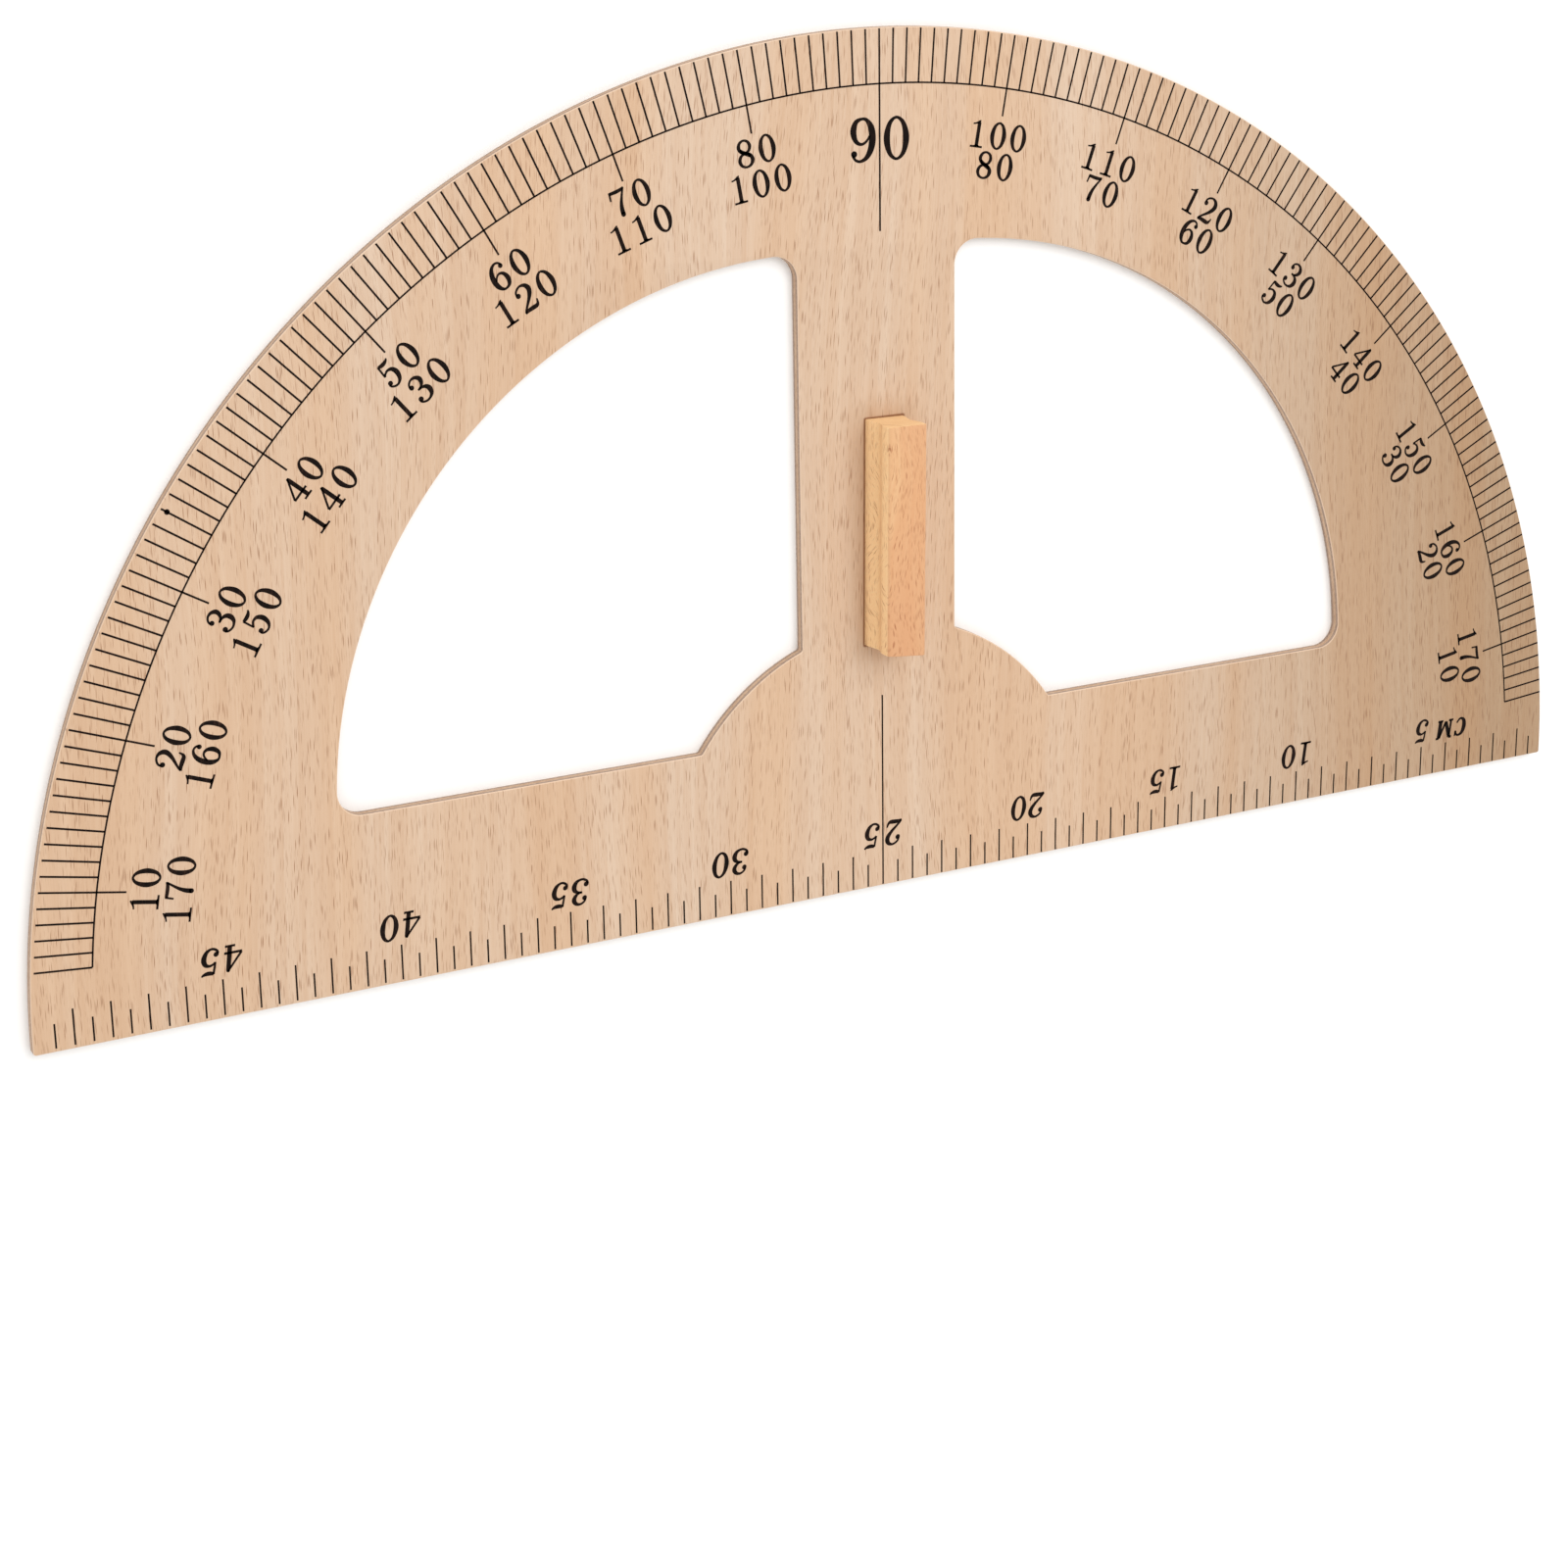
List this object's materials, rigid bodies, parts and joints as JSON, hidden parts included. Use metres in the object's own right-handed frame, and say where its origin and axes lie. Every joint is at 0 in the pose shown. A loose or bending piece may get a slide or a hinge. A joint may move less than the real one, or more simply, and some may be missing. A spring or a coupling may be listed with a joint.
{
  "type": "blackboard protractor",
  "caption": "Large half-disc protractor in three-ply beech with two windows, a centimetre rule along its straight edge and a grooved grip for use on a blackboard.",
  "frame": {"origin": "the protractor's centre point, half-way along the straight edge, at the board's back face; the mount straight_edge lies half the board's thickness above it", "axes": "+X along the straight edge towards the 0 cm end of the rule, +Y across the board towards the 90 degree mark, +Z out of the printed front face, the way the grip stands"},
  "size_m": [0.501, 0.2505, 0.0178],
  "materials": {
    "beech_face": "thin matt lacquer",
    "beech_core": "sawn and sanded edge",
    "beech_grip": "satin lacquer",
    "zinc_steel": "zinc plated"
  },
  "bodies": {
    "root": {"back_ply": "beech_face", "core_ply": "beech_core", "front_ply": "beech_face", "grip": "beech_grip", "screw_lower": "zinc_steel", "screw_upper": "zinc_steel"}
  },
  "joints": []
}
